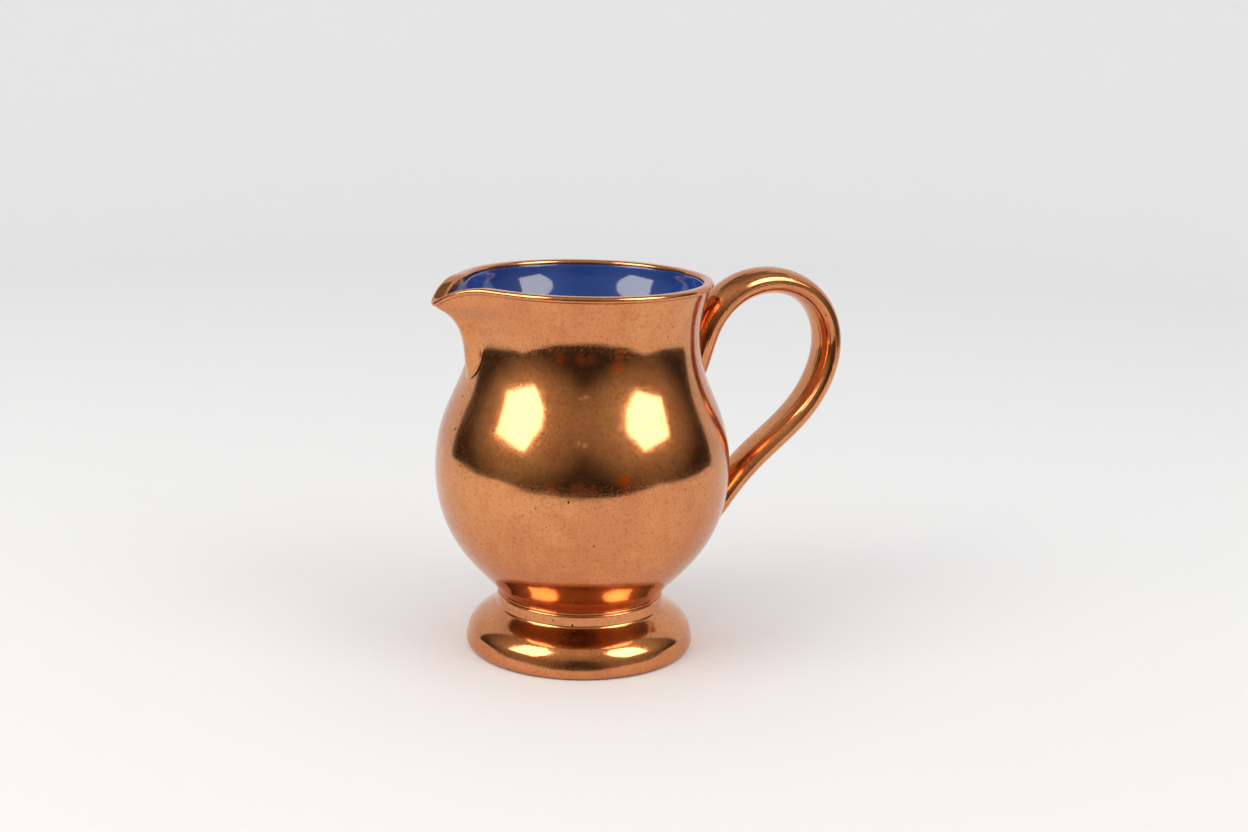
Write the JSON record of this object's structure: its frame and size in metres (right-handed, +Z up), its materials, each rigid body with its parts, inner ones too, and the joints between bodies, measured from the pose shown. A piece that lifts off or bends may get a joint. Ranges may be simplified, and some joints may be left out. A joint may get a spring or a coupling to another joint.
{
  "type": "lustreware jug",
  "caption": "Round-bellied glazed earthenware jug with a collar neck, pinched pouring lip, loop handle, flared foot and blue glazed inside.",
  "frame": {"origin": "centre of the foot ring's resting face", "axes": "+Z up along the axis on which the jug was thrown, +X towards the handle, -X towards the pouring lip"},
  "size_m": [0.1549, 0.1034, 0.1332],
  "materials": {
    "copper_lustre": "mirror-bright copper lustre over a brown glaze on red earthenware",
    "lustred_slip": "slip joint under the same glaze and copper lustre",
    "blue_glaze": "glossy opaque cobalt blue glaze"
  },
  "bodies": {
    "root": {"bowl": "copper_lustre", "foot": "copper_lustre", "pouring_lip": "copper_lustre", "handle": "copper_lustre", "foot_luting": "lustred_slip", "lip_luting": "lustred_slip", "handle_upper_luting": "lustred_slip", "handle_lower_luting": "lustred_slip", "blue_glaze_lining": "blue_glaze"}
  },
  "joints": []
}
